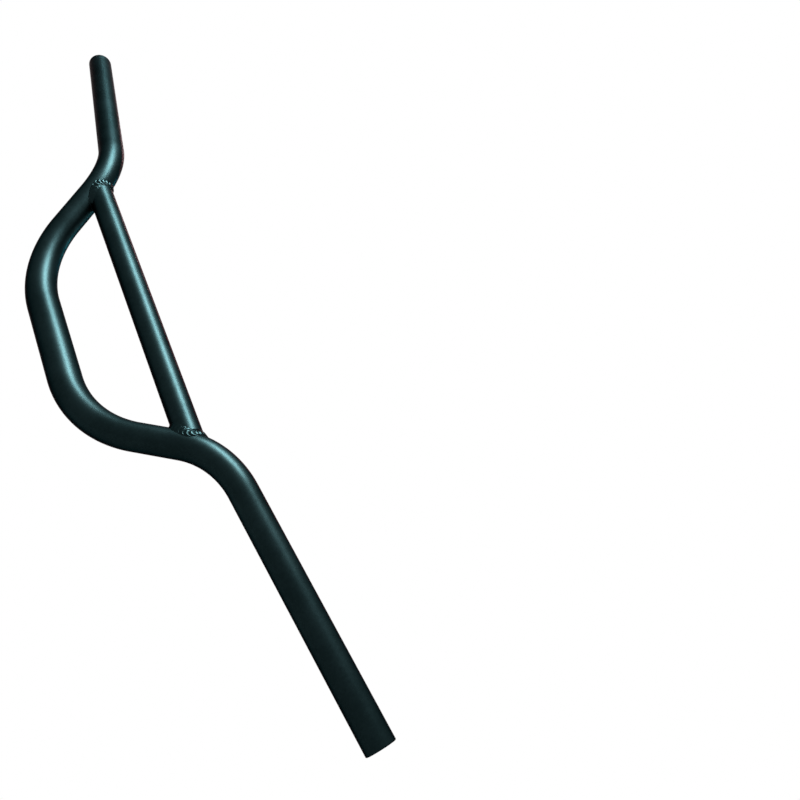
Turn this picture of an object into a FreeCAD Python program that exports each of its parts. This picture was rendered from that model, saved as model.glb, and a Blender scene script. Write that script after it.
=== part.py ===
# Riser handlebar with a welded cross tube.
# One main tube is swaged thick at the stem clamp and bent four times, a coped
# cross tube bridges its two risers, and a rippled weld bead runs round each joint.
# Frame: origin on the axis of the clamp at its middle, +X towards the rider's left
# grip, +Y back towards the rider, +Z up. Lengths are millimetres, angles degrees.
import FreeCAD
import Part
import math
import os

from FreeCAD import Placement, Rotation, Vector

# Driving dimensions, which go into the sheet under these names.
DIMENSIONS = {
    "clamp_dia": 25.4,
    "clamp_length": 78.0,
    "grip_dia": 22.2,
    "grip_length": 191.5,
    "bore_dia": 17.4,
    "lower_bend_radius": 95.0,
    "lower_bend_angle": 52.0,
    "riser_length": 36.0,
    "upper_bend_radius": 72.0,
    "back_sweep": 13.0,
    "up_sweep": 5.0,
    "end_chamfer": 0.8,
    "bore_chamfer": 0.5,
    "cross_above_bend": 7.4,
    "cross_step": 0.8,
    "cross_set_back": 0.7,
    "cross_wall": 2.0,
    "weld_radius": 3.4,
    "weld_sink": 2.1,
    "weld_pitch": 3.6,
}

# Where the outside and the bore of the main tube take their radii from. The bore is
# straight, so the wall is thickest at the clamp.
SKIN = {"clamp": "dims.clamp_dia / 2", "grip": "dims.grip_dia / 2"}
BORE = {"clamp": "dims.bore_dia / 2", "grip": "dims.bore_dia / 2"}

# The cross tube is one step thinner than the riser that it sits on, and is set back
# by most of that step, so that its back runs nearly flush with the riser's.
CROSS_SKIN = "dims.grip_dia / 2 - dims.cross_step"
CROSS_BORE = "dims.grip_dia / 2 - dims.cross_step - dims.cross_wall"

# Two points or radii this close count as the same.
TOUCH = 1e-3

# Rounds that the tapered bend is lofted through, its two ends among them.
TAPER_ROUNDS = 7

X_AXIS = Vector(1, 0, 0)
Y_AXIS = Vector(0, 1, 0)
Z_AXIS = Vector(0, 0, 1)

doc = FreeCAD.newDocument("handlebar")


# Sheet of driving dimensions
def make_sheet():
    sheet = doc.addObject("Spreadsheet::Sheet", "dims")
    for row, (alias, value) in enumerate(DIMENSIONS.items(), start=1):
        sheet.set(f"A{row}", alias)
        sheet.set(f"B{row}", str(value))
        sheet.setAlias(f"B{row}", alias)
    doc.recompute()
    return sheet


dims = make_sheet()


# Small helpers
def add(kind, name, placement=None, **sizes):
    made = doc.addObject(kind, name)
    for size, expression in sizes.items():
        made.setExpression(size, expression)
    if placement is not None:
        made.Placement = placement
    return made


def cut(name, base, tool):
    made = doc.addObject("Part::Cut", name)
    made.Base = base
    made.Tool = tool
    return made


def fuse(name, shapes):
    made = doc.addObject("Part::MultiFuse", name)
    made.Shapes = shapes
    return made


def mirror(name, source):
    made = doc.addObject("Part::Mirroring", name)
    made.Source = source
    made.Base = Vector(0, 0, 0)
    made.Normal = X_AXIS
    return made


def along(point, direction):
    return Placement(point, Rotation(Z_AXIS, direction))


# Centre line of the left half, walked outwards from the clamp
class Bend:
    def __init__(self, start, direction, next_direction, radius):
        self.radius = radius
        self.start = start
        self.direction = direction
        self.axis = direction.cross(next_direction).normalize()
        self.angle = math.degrees(direction.getAngle(next_direction))
        inward = self.axis.cross(direction)
        self.centre = start + inward * radius
        self.middle = self.at(0.5)[0]
        self.end, self.next_direction = self.at(1.0)
        outward = inward * -1
        frame = Rotation(outward, direction, self.axis, "ZXY")
        self.placement = Placement(self.centre, frame)

    def at(self, share):
        turned = Rotation(self.axis, self.angle * share)
        point = self.centre + turned.multVec(self.start - self.centre)
        return point, turned.multVec(self.direction)


def riser_direction():
    angle = math.radians(dims.lower_bend_angle)
    return Vector(math.cos(angle), 0, math.sin(angle))


def grip_direction():
    back = math.radians(dims.back_sweep)
    up = math.radians(dims.up_sweep)
    level = math.cos(up)
    return Vector(level * math.cos(back), level * math.sin(back), math.sin(up))


clamp_end = X_AXIS * (dims.clamp_length / 2)
lower = Bend(clamp_end, X_AXIS, riser_direction(), dims.lower_bend_radius)
riser_end = lower.end + lower.next_direction * dims.riser_length
upper = Bend(riser_end, riser_direction(), grip_direction(), dims.upper_bend_radius)
tube_end = upper.end + upper.next_direction * dims.grip_length


def half_centre_line():
    edges = [
        Part.makeLine(Vector(0, 0, 0), clamp_end),
        Part.Arc(lower.start, lower.middle, lower.end).toShape(),
        Part.makeLine(lower.end, riser_end),
        Part.Arc(upper.start, upper.middle, upper.end).toShape(),
        Part.makeLine(upper.end, tube_end),
    ]
    return Part.Wire(edges)


# Bent main tube: the same chain of lengths and bends makes the skin and the bore
def tapered_bend(name, radii):
    rounds = []
    for number in range(TAPER_ROUNDS):
        share = number / (TAPER_ROUNDS - 1)
        point, direction = lower.at(share)
        place = Placement(point, Rotation(Y_AXIS, direction.cross(Y_AXIS), direction, "ZXY"))
        radius = f"({radii['clamp']}) * {1 - share} + ({radii['grip']}) * {share}"
        rounds.append(add("Part::Circle", f"{name}_round_{number}", place, Radius=radius))
    made = doc.addObject("Part::Loft", name)
    made.Sections = rounds
    made.Solid = True
    made.MaxDegree = 3
    return made


def round_bend(name, bend, bend_radius, radius):
    made = add("Part::Torus", name, bend.placement, Radius1=bend_radius, Radius2=radius)
    made.Angle3 = bend.angle
    return made


def straight(name, start, direction, radius, length):
    return add("Part::Cylinder", name, along(start, direction), Radius=radius, Height=length)


def tube_chain(name, radii):
    clamp = straight(f"{name}_clamp", clamp_end * -1, X_AXIS, radii["clamp"], "dims.clamp_length")
    if radii["clamp"] == radii["grip"]:
        low = round_bend(f"{name}_lower_bend", lower, "dims.lower_bend_radius", radii["grip"])
    else:
        low = tapered_bend(f"{name}_lower_bend", radii)
    riser = straight(f"{name}_riser", lower.end, lower.next_direction, radii["grip"], "dims.riser_length")
    high = round_bend(f"{name}_upper_bend", upper, "dims.upper_bend_radius", radii["grip"])
    grip = straight(f"{name}_grip", upper.end, upper.next_direction, radii["grip"], "dims.grip_length")
    half = fuse(f"{name}_half", [low, riser, high, grip])
    other_half = mirror(f"{name}_other_half", half)
    return fuse(name, [clamp, half, other_half])


def end_edges(shape, radius):
    found = []
    for number, edge in enumerate(shape.Edges, start=1):
        if isinstance(edge.Curve, Part.Circle) and abs(edge.Curve.Radius - radius) < TOUCH:
            centre = edge.Curve.Center
            reach = Vector(abs(centre.x), centre.y, centre.z)
            if reach.distanceToPoint(tube_end) < TOUCH:
                found.append(number)
    return found


def main_tube(skin, bore):
    hollow = cut("hollow_tube", skin, bore)
    doc.recompute()
    outer = [(n, dims.end_chamfer, dims.end_chamfer) for n in end_edges(hollow.Shape, dims.grip_dia / 2)]
    inner = [(n, dims.bore_chamfer, dims.bore_chamfer) for n in end_edges(hollow.Shape, dims.bore_dia / 2)]
    tube = doc.addObject("Part::Chamfer", "main_tube")
    tube.Base = hollow
    tube.Edges = outer + inner
    tube.Label = "bent_main_tube"
    return tube


# Cross tube, coped at both ends to sit on the risers
def cross_end():
    middle = Z_AXIS * (riser_end.z + dims.cross_above_bend)
    level = Part.makeLine(middle, middle + X_AXIS * tube_end.x)
    met = level.distToShape(half_centre_line())[1][0][1]
    return Vector(met.x, met.y + dims.cross_set_back, middle.z)


def cross_tube(skin):
    end = cross_end()
    start = along(Vector(-end.x, end.y, end.z), X_AXIS)
    outside = add("Part::Cylinder", "cross_skin", start, Radius=CROSS_SKIN)
    inside = add("Part::Cylinder", "cross_bore", start, Radius=CROSS_BORE)
    outside.Height = 2 * end.x
    inside.Height = 2 * end.x
    ring = cut("cross_ring", outside, inside)
    tube = cut("cross_tube", ring, skin)
    tube.Label = "cross_tube"
    return tube, outside


# Weld beads: overlapping round puddles along the seam, trimmed to the two tubes.
# A puddle sinks where the tubes' sides run flush, so the bead lies low there and
# stands as a full fillet in the corners.
def seam(cross):
    radius = dims.grip_dia / 2 - dims.cross_step
    axis = cross_end()
    edges = []
    for edge in cross.Shape.Edges:
        points = edge.discretize(Number=5)
        offsets = [abs(math.hypot(p.y - axis.y, p.z - axis.z) - radius) for p in points]
        if max(offsets) < TOUCH and min(p.x for p in points) > 0:
            edges.append(edge)
    return Part.Wire(Part.__sortEdges__(edges))


def puddle_place(point, ahead, centre_line):
    axis = cross_end()
    off_cross = Vector(0, point.y - axis.y, point.z - axis.z).normalize()
    nearest = centre_line.distToShape(Part.Vertex(point))[1][0][0]
    off_riser = (point - nearest).normalize()
    flush = (1 + off_cross.dot(off_riser)) / 2
    inward = (off_cross + off_riser).normalize() * -1
    centre = point + inward * (dims.weld_sink * flush)
    return Placement(centre, Rotation(inward, ahead.cross(inward), ahead, "ZXY"))


def weld_beads(cross, skin, cross_skin):
    line = seam(cross)
    centre_line = half_centre_line()
    count = round(line.Length / dims.weld_pitch)
    points = line.discretize(Number=count + 1)[:count]
    puddles = []
    for number, point in enumerate(points):
        ahead = (points[(number + 1) % count] - points[number - 1]).normalize()
        place = puddle_place(point, ahead, centre_line)
        puddles.append(add("Part::Sphere", f"puddle_{number}", place, Radius="dims.weld_radius"))
    string = fuse("puddles", puddles)
    off_riser = cut("bead_off_riser", string, skin)
    left = cut("bead_left", off_riser, cross_skin)
    right = mirror("bead_right", left)
    both = doc.addObject("Part::Compound", "beads")
    both.Links = [left, right]
    both.Label = "weld_beads"
    return both


# Build, test and write
def check(pieces):
    for made in doc.Objects:
        if "Invalid" in made.State or "Error" in made.State:
            raise RuntimeError(f"{made.Name} failed: {made.State}")
    for piece in pieces:
        if piece.Shape.isNull() or not piece.Shape.isValid():
            raise RuntimeError(f"{piece.Label} has no valid shape")
        if not piece.Shape.Solids:
            raise RuntimeError(f"{piece.Label} holds no solid")


def main():
    skin = tube_chain("skin", SKIN)
    bore = tube_chain("bore", BORE)
    tube = main_tube(skin, bore)
    cross, cross_skin = cross_tube(skin)
    doc.recompute()
    pieces = [tube, cross, weld_beads(cross, skin, cross_skin)]
    doc.recompute()
    check(pieces)
    os.makedirs("parts", exist_ok=True)
    for piece in pieces:
        piece.Shape.exportStep(f"parts/{piece.Label}.step")
        solids = len(piece.Shape.Solids)
        print(f"{piece.Label}: {solids} solid, {piece.Shape.Volume / 1000:.2f} cm3")
    print(f"width {2 * tube_end.x:.1f} mm, rise {tube_end.z:.1f} mm, upper bend {upper.angle:.2f} deg")


main()
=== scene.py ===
import bmesh
import bpy
import math
import random
from mathutils import Matrix, Vector


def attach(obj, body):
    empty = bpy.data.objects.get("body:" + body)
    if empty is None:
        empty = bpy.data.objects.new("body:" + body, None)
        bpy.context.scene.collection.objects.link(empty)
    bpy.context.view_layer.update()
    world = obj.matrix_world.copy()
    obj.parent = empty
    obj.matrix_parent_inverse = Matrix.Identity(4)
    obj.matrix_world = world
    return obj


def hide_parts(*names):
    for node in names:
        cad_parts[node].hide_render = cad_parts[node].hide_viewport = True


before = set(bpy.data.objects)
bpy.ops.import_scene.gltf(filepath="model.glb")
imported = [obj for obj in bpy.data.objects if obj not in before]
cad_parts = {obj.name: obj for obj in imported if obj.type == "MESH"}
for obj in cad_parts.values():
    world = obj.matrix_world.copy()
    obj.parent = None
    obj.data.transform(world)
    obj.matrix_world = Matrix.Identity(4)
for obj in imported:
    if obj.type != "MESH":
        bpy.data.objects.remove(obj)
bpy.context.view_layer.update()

scene = bpy.context.scene
mm = 0.001

# Riser handlebar: a bent tube, a coped cross tube and two rippled weld beads.
# Metres, with the origin at the middle of the stem clamp seat and +Z up.


# Camera, at the photograph's viewing angle. It is rolled, so the bar's up points right.
cameraView = dict(
    spot=(0.45967, -0.51193, 0.15674),
    heading=-28.9,  # degrees from +Y, towards +X
    climb=6.06,
    roll=65.32,
    lens=37.385,
    sensorWidth=36.0,  # lens and sensor in millimetres
    nearClip=0.01,
)


def makeCamera(view):
    heading = math.radians(view["heading"])
    climb = math.radians(view["climb"])
    roll = math.radians(view["roll"])
    level = math.cos(climb)
    forward = Vector((math.sin(heading) * level, math.cos(heading) * level, math.sin(climb)))
    side = forward.cross(Vector((0, 0, 1))).normalized()
    top = side.cross(forward)
    right = side * math.cos(roll) + top * math.sin(roll)
    up = top * math.cos(roll) - side * math.sin(roll)
    data = bpy.data.cameras.new("camera")
    data.lens = view["lens"]
    data.sensor_fit = "HORIZONTAL"
    data.sensor_width = view["sensorWidth"]
    data.clip_start = view["nearClip"]
    camera = bpy.data.objects.new("camera", data)
    turn = Matrix((right, up, -forward)).transposed().to_4x4()
    camera.matrix_world = Matrix.Translation(view["spot"]) @ turn
    scene.collection.objects.link(camera)
    scene.camera = camera


makeCamera(cameraView)
print("camera set")


# Shader helpers: a signal is a socket that takes part in sums.
class Signal:
    def __init__(self, tree, socket):
        self.tree = tree
        self.socket = socket

    def maths(self, operation, first, second):
        return self.tree.node("ShaderNodeMath", {"operation": operation}, {0: first, 1: second})

    def __add__(self, other):
        return self.maths("ADD", self, other)

    def __radd__(self, other):
        return self.maths("ADD", other, self)

    def __sub__(self, other):
        return self.maths("SUBTRACT", self, other)

    def __rsub__(self, other):
        return self.maths("SUBTRACT", other, self)

    def __mul__(self, other):
        return self.maths("MULTIPLY", self, other)

    def __rmul__(self, other):
        return self.maths("MULTIPLY", other, self)


class Tree:
    def __init__(self, nodeTree):
        nodeTree.nodes.clear()
        self.nodeTree = nodeTree

    def node(self, kind, settings, sockets, output=0):
        made = self.nodeTree.nodes.new(kind)
        for name, value in settings.items():
            setattr(made, name, value)
        for name, value in sockets.items():
            if isinstance(value, Signal):
                self.nodeTree.links.new(value.socket, made.inputs[name])
            else:
                made.inputs[name].default_value = value
        return Signal(self, made.outputs[output]) if made.outputs else None

    def noise(self, where, scale, detail):
        sockets = {"Vector": where, "Scale": scale, "Detail": detail}
        return self.node("ShaderNodeTexNoise", {}, sockets, "Fac")

    def fade(self, value, low, high):
        sockets = {"Value": value, "From Min": low, "From Max": high}
        return self.node("ShaderNodeMapRange", {"interpolation_type": "SMOOTHSTEP"}, sockets)

    def blend(self, amount, first, second):
        sockets = {"Factor": amount, 6: first, 7: second}  # its colour sockets
        return self.node("ShaderNodeMix", {"data_type": "RGBA"}, sockets, 2)

    def vector(self, operation, sockets, output):
        return self.node("ShaderNodeVectorMath", {"operation": operation}, sockets, output)

    def mix(self, amount, first, second):
        return self.node("ShaderNodeMixShader", {}, {0: amount, 1: first, 2: second})


def startMaterial(name):
    material = bpy.data.materials.new(name)
    material.use_nodes = True
    return material, Tree(material.node_tree)


# Satin black finish, finely blasted, with a cool sheen. The weld takes a shinier one.
tubeFinish = dict(
    darkColour=(0.0124, 0.0264, 0.0286, 1),
    paleColour=(0.0180, 0.0370, 0.0400, 1),
    edgeTint=(0.35, 0.30, 0.30, 1),
    roughness=0.39,
    roughnessSpread=0.05,
    cloudScale=38.0,
    mottleScale=420.0,
    grainScale=2300.0,
    softDetail=2.0,
    grainDetail=3.0,
    toneShares=(0.45, 0.3, 0.25),  # of cloud, mottle and grain
    toneRange=(0.36, 0.64),
    reliefShares=(0.3, 0.7),  # of mottle and grain
    grainDepth=0.06 * mm,
    grainStrength=0.3,
)
weldFinish = dict(tubeFinish, roughness=0.30, grainScale=1500.0, grainStrength=0.7)
boreFinish = dict(tubeFinish, roughness=0.55)


def blackFinish(name, look):
    material, tree = startMaterial(name)
    where = tree.node("ShaderNodeTexCoord", {}, {}, "Object")
    cloud = tree.noise(where, look["cloudScale"], look["softDetail"])
    mottle = tree.noise(where, look["mottleScale"], look["softDetail"])
    grain = tree.noise(where, look["grainScale"], look["grainDetail"])
    ofCloud, ofMottle, ofGrain = look["toneShares"]
    tone = tree.fade(cloud * ofCloud + mottle * ofMottle + grain * ofGrain, *look["toneRange"])
    colour = tree.blend(tone, look["darkColour"], look["paleColour"])
    dull = look["roughness"] + (cloud + grain - 1) * look["roughnessSpread"]
    ofMottle, ofGrain = look["reliefShares"]
    relief = grain * ofGrain + mottle * ofMottle
    bump = {"Height": relief, "Distance": look["grainDepth"], "Strength": look["grainStrength"]}
    skin = tree.node("ShaderNodeBsdfPrincipled", {}, {
        "Base Color": colour,
        "Roughness": dull,
        "Metallic": 1.0,
        "Specular Tint": look["edgeTint"],
        "Normal": tree.node("ShaderNodeBump", {}, bump),
    })
    tree.node("ShaderNodeOutputMaterial", {}, {"Surface": skin})
    return material


tubeBlack = blackFinish("satin_black_tube", tubeFinish)
weldBlack = blackFinish("satin_black_weld", weldFinish)
boreBlack = blackFinish("dull_black_bore", boreFinish)
print("finishes made")


def limit(value, low, high):
    return min(max(value, low), high)


# The line that the main tube follows, for the half towards +X
barShape = dict(
    clampRadius=12.7 * mm,
    clampLength=78.0 * mm,
    gripRadius=11.1 * mm,
    gripLength=191.5 * mm,
    boreRadius=8.7 * mm,
    lowerBendRadius=95.0 * mm,
    lowerBendAngle=52.0,
    riserLength=36.0 * mm,
    upperBendRadius=72.0 * mm,
    backSweep=13.0,
    upSweep=5.0,
    outerLip=0.8 * mm,
    innerLip=0.5 * mm,
    lipSteps=5,
    bendStep=1.6,  # degrees
    around=96,
)


class Bend:
    def __init__(self, start, direction, nextDirection, radius):
        self.radius = radius
        self.direction = direction
        self.axis = direction.cross(nextDirection).normalized()
        self.angle = direction.angle(nextDirection)
        self.outward = direction.cross(self.axis)
        self.centre = start - self.outward * radius
        self.end = self.at(self.angle)

    def at(self, angle):
        spoke = self.outward * math.cos(angle) + self.direction * math.sin(angle)
        return self.centre + spoke * self.radius

    def heading(self, angle):
        return self.direction * math.cos(angle) - self.outward * math.sin(angle)

    def angleOf(self, point):
        offset = point - self.centre
        angle = math.atan2(offset.dot(self.direction), offset.dot(self.outward))
        return limit(angle, 0.0, self.angle)


class CentreLine:
    def __init__(self, shape):
        rise = math.radians(shape["lowerBendAngle"])
        back = math.radians(shape["backSweep"])
        lift = math.radians(shape["upSweep"])
        level = math.cos(lift)
        self.riser = Vector((math.cos(rise), 0, math.sin(rise)))
        self.grip = Vector((level * math.cos(back), level * math.sin(back), math.sin(lift)))
        self.clampEnd = Vector((shape["clampLength"] / 2, 0, 0))
        self.lower = Bend(self.clampEnd, Vector((1, 0, 0)), self.riser, shape["lowerBendRadius"])
        self.riserEnd = self.lower.end + self.riser * shape["riserLength"]
        self.upper = Bend(self.riserEnd, self.riser, self.grip, shape["upperBendRadius"])
        self.tubeEnd = self.upper.end + self.grip * shape["gripLength"]

    # the nearest spot of the riser or the upper bend
    def nearest(self, point):
        run = (point - self.lower.end).dot(self.riser)
        length = (self.riserEnd - self.lower.end).length
        onRiser = self.lower.end + self.riser * limit(run, 0.0, length)
        onBend = self.upper.at(self.upper.angleOf(point))
        if (point - onRiser).length < (point - onBend).length:
            return onRiser
        return onBend


line = CentreLine(barShape)


# Mesh helpers
def ringOf(bm, centre, heading, radius, around):
    side = Vector((0, 1, 0))
    side = (side - heading * side.dot(heading)).normalized()
    other = heading.cross(side)
    ring = []
    for step in range(around):
        angle = math.tau * step / around
        spot = centre + (side * math.cos(angle) + other * math.sin(angle)) * radius
        ring.append(bm.verts.new(spot))
    return ring


def joinRings(bm, rings, slots=None):
    for number, ring in enumerate(rings):
        after = rings[(number + 1) % len(rings)]
        for step in range(len(ring)):
            beside = (step + 1) % len(ring)
            face = bm.faces.new((ring[step], ring[beside], after[beside], after[step]))
            face.smooth = True
            face.material_index = slots[number] if slots else 0


# a crisp edge along a loop of points
def sharpen(bm, loop):
    for step, vert in enumerate(loop):
        bm.edges.get((loop[step - 1], vert)).smooth = False


def finishPiece(bm, name, materials, node):
    bmesh.ops.recalc_face_normals(bm, faces=bm.faces)
    mesh = bpy.data.meshes.new(name)
    bm.to_mesh(mesh)
    bm.free()
    for material in materials:
        mesh.materials.append(material)
    piece = bpy.data.objects.new(name, mesh)
    scene.collection.objects.link(piece)
    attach(piece, "root")
    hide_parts(node)


# Main tube: skin, rounded end lips and bore in one closed mesh
def barStations(shape):
    stations = []
    thinning = shape["gripRadius"] - shape["clampRadius"]
    for bend, start, change in (
        (line.lower, shape["clampRadius"], thinning),
        (line.upper, shape["gripRadius"], 0.0),
    ):
        steps = math.ceil(math.degrees(bend.angle) / shape["bendStep"])
        for step in range(steps + 1):
            share = step / steps
            angle = bend.angle * share
            stations.append((bend.at(angle), bend.heading(angle), start + change * share))
    stations.append((line.tubeEnd, line.grip, shape["gripRadius"]))
    flipped = []
    for centre, heading, radius in reversed(stations):
        across = Vector((-centre.x, centre.y, centre.z))
        flipped.append((across, Vector((heading.x, -heading.y, -heading.z)), radius))
    return flipped + stations


# how far back from the end, and how wide, from the skin round the lip and into the bore
def lipOutline(shape):
    outline = [(shape["outerLip"] * 2, shape["gripRadius"])]
    for step in range(shape["lipSteps"] + 1):
        angle = math.pi / 2 * step / shape["lipSteps"]
        reach = shape["outerLip"] * (1 - math.sin(angle))
        radius = shape["gripRadius"] - shape["outerLip"] * (1 - math.cos(angle))
        outline.append((reach, radius))
    for step in range(shape["lipSteps"] + 1):
        angle = math.pi / 2 * step / shape["lipSteps"]
        reach = shape["innerLip"] * (1 - math.cos(angle))
        radius = shape["boreRadius"] + shape["innerLip"] * (1 - math.sin(angle))
        outline.append((reach, radius))
    outline.append((shape["innerLip"] * 2, shape["boreRadius"]))
    return outline


def makeMainTube(shape):
    bm = bmesh.new()
    stations = barStations(shape)
    inner = stations[1:-1]
    around = shape["around"]
    outline = lipOutline(shape)
    rings = []
    slots = []
    for centre, heading, radius in inner:
        rings.append(ringOf(bm, centre, heading, radius, around))
        slots.append(0)
    centre, heading, radius = stations[-1]
    for reach, lipRadius in outline:
        rings.append(ringOf(bm, centre - heading * reach, heading, lipRadius, around))
        slots.append(0)
    slots[-1] = 1
    for centre, heading, radius in reversed(inner):
        rings.append(ringOf(bm, centre, heading, shape["boreRadius"], around))
        slots.append(1)
    centre, heading, radius = stations[0]
    for reach, lipRadius in reversed(outline):
        rings.append(ringOf(bm, centre + heading * reach, heading, lipRadius, around))
        slots.append(0)
    joinRings(bm, rings, slots)
    finishPiece(bm, "main_tube", [tubeBlack, boreBlack], "bent_main_tube")


makeMainTube(barShape)
print("main tube made")


# Cross tube, coped to sit on the risers
crossShape = dict(
    aboveBend=7.4 * mm,  # its axis over the start of the upper bend
    setBack=0.7 * mm,
    radius=10.3 * mm,
    wall=2.0 * mm,
    around=96,
    runs=24,
    wallSteps=3,
)


# where a test turns from true to false
def halve(test, low, high, turns=40):
    for turn in range(turns):
        middle = (low + high) / 2
        if test(middle):
            low = middle
        else:
            high = middle
    return (low + high) / 2


# the tube's middle at a height on the riser or the upper bend
def lineAt(height):
    below = line.riserEnd.z - height
    if below > 0:
        return line.riserEnd - line.riser * (below / line.riser.z)
    angle = halve(lambda bent: line.upper.at(bent).z < height, 0.0, line.upper.angle)
    return line.upper.at(angle)


crossEnd = lineAt(line.riserEnd.z + crossShape["aboveBend"])
crossEnd.y += crossShape["setBack"]


# where a line along the cross tube meets the riser
def seamSpot(angle, radius):
    y = crossEnd.y + radius * math.cos(angle)
    z = crossEnd.z + radius * math.sin(angle)

    def clear(x):
        spot = Vector((x, y, z))
        return (spot - line.nearest(spot)).length > barShape["gripRadius"]

    return Vector((halve(clear, crossEnd.x / 2, lineAt(z).x), y, z))


def crossRing(bm, shape, radius, share):
    ring = []
    for step in range(shape["around"]):
        spot = seamSpot(math.tau * step / shape["around"], radius)
        ring.append(bm.verts.new((spot.x * share, spot.y, spot.z)))
    return ring


def makeCrossTube(shape):
    bm = bmesh.new()
    bore = shape["radius"] - shape["wall"]
    shares = [2 * run / shape["runs"] - 1 for run in range(shape["runs"] + 1)]
    depths = [shape["wall"] * step / shape["wallSteps"] for step in range(1, shape["wallSteps"])]
    rings = [crossRing(bm, shape, shape["radius"], share) for share in shares]
    rings += [crossRing(bm, shape, shape["radius"] - depth, 1.0) for depth in depths]
    rings += [crossRing(bm, shape, bore, share) for share in reversed(shares)]
    rings += [crossRing(bm, shape, bore + depth, -1.0) for depth in depths]
    joinRings(bm, rings)
    turn = len(shares) + len(depths)
    for ring in (rings[0], rings[len(shares) - 1], rings[turn], rings[turn + len(shares) - 1]):
        sharpen(bm, ring)
    finishPiece(bm, "cross_tube_piece", [tubeBlack], "cross_tube")


makeCrossTube(crossShape)
print("cross tube made")


# Weld beads: one pass of overlapping ripples round each saddle-shaped seam
beadShape = dict(
    ripples=24,
    stepsPerRipple=18,
    sections=24,
    crossLeg=4.9 * mm,  # from the seam to the toe on the cross tube
    riserLeg=2.8 * mm,
    tightShare=0.5,  # of those legs, in the tight corner
    tightUpTo=0.2,  # as a flushness of the tubes, from 0 to 1
    tightFade=0.35,
    height=3.0 * mm,  # over the seam, in a corner
    flushHeight=1.35 * mm,  # where the tubes' sides run flush
    rippleDepth=0.8 * mm,
    calmRipple=0.2,  # of that depth, low down in the tight corner
    calmUpTo=-0.7,  # as a height on the cross tube, from -1 to 1
    calmFade=0.7,
    rippleLean=0.8,
    rippleRound=0.6,
    rippleMiddle=0.6,  # the part of a ripple that lies on the bead's plain form
    toeFade=4,
    crescent=0.85,  # how far a ripple's edge bows, in ripples
    scallop=0.14,
    unevenness=0.09,
    buried=0.5 * mm,
    fineSteps=720,
    seed=11,
)


# even steps along the seam
def seamPath(shape):
    fine = shape["fineSteps"]
    spots = [seamSpot(math.tau * step / fine, crossShape["radius"]) for step in range(fine)]
    lengths = [0.0]
    for step in range(fine):
        lengths.append(lengths[-1] + (spots[(step + 1) % fine] - spots[step]).length)
    count = shape["ripples"] * shape["stepsPerRipple"]
    path = []
    step = 0
    for number in range(count):
        wanted = lengths[-1] * number / count
        while lengths[step + 1] < wanted:
            step += 1
        share = (wanted - lengths[step]) / (lengths[step + 1] - lengths[step])
        path.append(seamSpot(math.tau * (step + share) / fine, crossShape["radius"]))
    return path


def onCross(spot):
    offset = Vector((0, spot.y - crossEnd.y, spot.z - crossEnd.z)).normalized()
    return Vector((spot.x, crossEnd.y, crossEnd.z)) + offset * crossShape["radius"], offset


def onRiser(spot):
    nearest = line.nearest(spot)
    offset = (spot - nearest).normalized()
    return nearest + offset * barShape["gripRadius"], offset


# a slice across the bead, from its toe on the cross tube (q = -1) to the one on the riser (q = 1)
def beadRing(bm, shape, spot, ahead, travel, sizes):
    offCross = onCross(spot)[1]
    offRiser = onRiser(spot)[1]
    flush = (1 + offCross.dot(offRiser)) / 2
    out = (offCross + offRiser).normalized()
    awayCross = ahead.cross(offCross).normalized()
    if awayCross.x > 0:
        awayCross = -awayCross
    awayRiser = ahead.cross(offRiser).normalized()
    if awayRiser.dot(offCross * (1 - flush) - awayCross * flush) < 0:
        awayRiser = -awayRiser
    count = len(sizes)

    # how proud the ripple stands, with its edge bowed towards the toes
    def ripple(q):
        place = (travel + shape["crescent"] * q * q) % count
        share = place - math.floor(place)
        size = sizes[int(place)]
        leant = share ** shape["rippleLean"]
        return math.sin(math.pi * leant) ** shape["rippleRound"] * size

    height = shape["height"] + (shape["flushHeight"] - shape["height"]) * flush
    opening = limit((flush - shape["tightUpTo"]) / shape["tightFade"], 0.0, 1.0)
    share = shape["tightShare"] + (1 - shape["tightShare"]) * opening
    height *= share
    clear = limit((offCross.z - shape["calmUpTo"]) / shape["calmFade"], 0.0, 1.0)
    depth = shape["rippleDepth"] * (shape["calmRipple"] + (1 - shape["calmRipple"]) * clear)
    spread = share * (1 - shape["scallop"] * (1 - ripple(1.0)))
    toeCross, normalCross = onCross(spot + awayCross * shape["crossLeg"] * spread)
    toeRiser, normalRiser = onRiser(spot + awayRiser * shape["riserLeg"] * spread)
    crown = spot + out * height
    ring = []
    for section in range(shape["sections"] + 1):
        q = 2 * section / shape["sections"] - 1
        base = toeCross * (q * (q - 1) / 2) + crown * (1 - q * q) + toeRiser * (q * (q + 1) / 2)
        normal = (normalCross * (1 - q) + normalRiser * (1 + q)).normalized()
        lift = depth * (ripple(q) - shape["rippleMiddle"]) * (1 - q ** shape["toeFade"])
        ring.append(bm.verts.new(base + normal * lift))
    ring.append(bm.verts.new(toeRiser - normalRiser * shape["buried"]))
    ring.append(bm.verts.new(spot - out * shape["buried"]))
    ring.append(bm.verts.new(toeCross - normalCross * shape["buried"]))
    return ring


def makeWeldBeads(shape):
    bm = bmesh.new()
    path = seamPath(shape)
    chance = random.Random(shape["seed"])
    for flip in (1, -1):
        sizes = [1 + chance.uniform(-1, 1) * shape["unevenness"] for ripple in range(shape["ripples"])]
        rings = []
        for number, spot in enumerate(path):
            ahead = (path[(number + 1) % len(path)] - path[number - 1]).normalized()
            rings.append(beadRing(bm, shape, spot, ahead, number / shape["stepsPerRipple"], sizes))
        for ring in rings:
            for vert in ring:
                vert.co.x *= flip
        joinRings(bm, rings)
        for toe in (0, shape["sections"]):
            sharpen(bm, [ring[toe] for ring in rings])
    finishPiece(bm, "weld_bead_pair", [weldBlack], "weld_beads")


makeWeldBeads(beadShape)
print("weld beads made")


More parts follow.
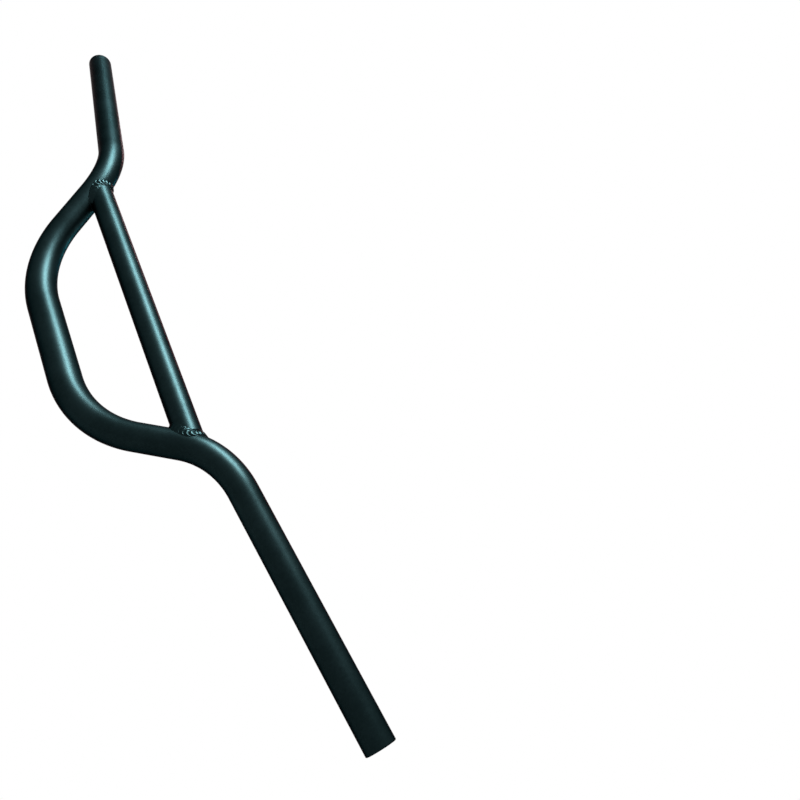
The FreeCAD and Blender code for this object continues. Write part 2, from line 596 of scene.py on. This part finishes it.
# Studio: a plain floor and a room that pales to white behind the bar, with two strip lamps
studio = dict(
    behind=(-0.483, 0.876, 0.0),  # from the bar to the middle of the white side
    paleFrom=0.0,  # cosines of the angles from there
    paleFull=0.7,
    paleTop=0.64,  # sines of the heights at which it ends
    ceilingFrom=0.82,
    white=(1, 1, 1, 1),
    room=(0.37, 0.37, 0.37, 1),
    fill=(0.12, 0.12, 0.12, 1),  # the room's light on matt surfaces
)
floorLook = dict(
    height=-0.9,
    halfSize=60.0,
    colour=(0.28, 0.28, 0.28, 1),
    pool=(0.3, 0.1),  # middle of the part that takes the shadow
    poolFull=0.2,
    poolEdge=0.9,
)
lamps = dict(
    key=dict(spot=(-1.1, -0.67, 1.12), aim=(-1.1, 0.0, 0.05), size=(1.5, 0.46), power=94.0),
    back=dict(spot=(-0.9, 1.5, 1.0), aim=(0.0, 0.0, 0.05), size=(1.8, 0.4), power=45.0),
)


def backdropRays(tree):
    rays = tree.node("ShaderNodeLightPath", {}, {}, "Is Camera Ray")
    path = rays.socket.node
    for name in ("Is Glossy Ray", "Is Transmission Ray"):
        rays = rays + Signal(tree, path.outputs[name])
    return rays


# how white the room is in a direction from the bar
def paleShare(tree, where):
    direction = tree.vector("NORMALIZE", {0: where}, "Vector")
    facing = tree.vector("DOT_PRODUCT", {0: direction, 1: studio["behind"]}, "Value")
    return tree.fade(facing, studio["paleFrom"], studio["paleFull"])


def makeFloor(look):
    material, tree = startMaterial("pale_floor")
    where = tree.node("ShaderNodeNewGeometry", {}, {}, "Position")
    pool = (*look["pool"], look["height"])
    reach = tree.vector("DISTANCE", {0: where, 1: pool}, "Value")
    far = tree.fade(reach, look["poolFull"], look["poolEdge"])
    matt = tree.node("ShaderNodeBsdfDiffuse", {}, {"Color": look["colour"]})
    grey = tree.node("ShaderNodeEmission", {}, {"Color": studio["room"]})
    white = tree.node("ShaderNodeEmission", {}, {"Color": studio["white"]})
    plain = tree.mix(paleShare(tree, where), grey, white)
    mixed = tree.mix(far * backdropRays(tree), matt, plain)
    tree.node("ShaderNodeOutputMaterial", {}, {"Surface": mixed})
    size = look["halfSize"]
    corners = [(-size, -size, 0), (size, -size, 0), (size, size, 0), (-size, size, 0)]
    mesh = bpy.data.meshes.new("floor")
    mesh.from_pydata(corners, [], [(0, 1, 2, 3)])
    mesh.materials.append(material)
    floor = bpy.data.objects.new("floor", mesh)
    floor.location.z = look["height"]
    scene.collection.objects.link(floor)


def makeWorld():
    world = bpy.data.worlds.new("studio")
    scene.world = world
    world.use_nodes = True
    tree = Tree(world.node_tree)
    where = tree.node("ShaderNodeTexCoord", {}, {}, "Generated")
    height = tree.node("ShaderNodeSeparateXYZ", {}, {0: where}, "Z")
    overhead = tree.fade(height, studio["paleTop"], studio["ceilingFrom"])
    share = paleShare(tree, where) * (1 - overhead)
    grey = tree.node("ShaderNodeBackground", {}, {"Color": studio["room"]})
    white = tree.node("ShaderNodeBackground", {}, {"Color": studio["white"]})
    fill = tree.node("ShaderNodeBackground", {}, {"Color": studio["fill"]})
    sky = tree.mix(backdropRays(tree), fill, tree.mix(share, grey, white))
    tree.node("ShaderNodeOutputWorld", {}, {"Surface": sky})


def makeLamp(name, lamp):
    data = bpy.data.lights.new(name, "AREA")
    data.shape = "RECTANGLE"
    data.size, data.size_y = lamp["size"]
    data.energy = lamp["power"]
    made = bpy.data.objects.new(name, data)
    spot = Vector(lamp["spot"])
    back = (spot - Vector(lamp["aim"])).normalized()
    along = Vector((1, 0, 0))
    along = (along - back * along.dot(back)).normalized()
    turn = Matrix((along, back.cross(along), back)).transposed().to_4x4()
    made.matrix_world = Matrix.Translation(spot) @ turn
    made.visible_camera = False
    scene.collection.objects.link(made)


makeFloor(floorLook)
makeWorld()
for name, lamp in lamps.items():
    makeLamp(name, lamp)
scene.view_settings.view_transform = "Standard"
print("studio lit")
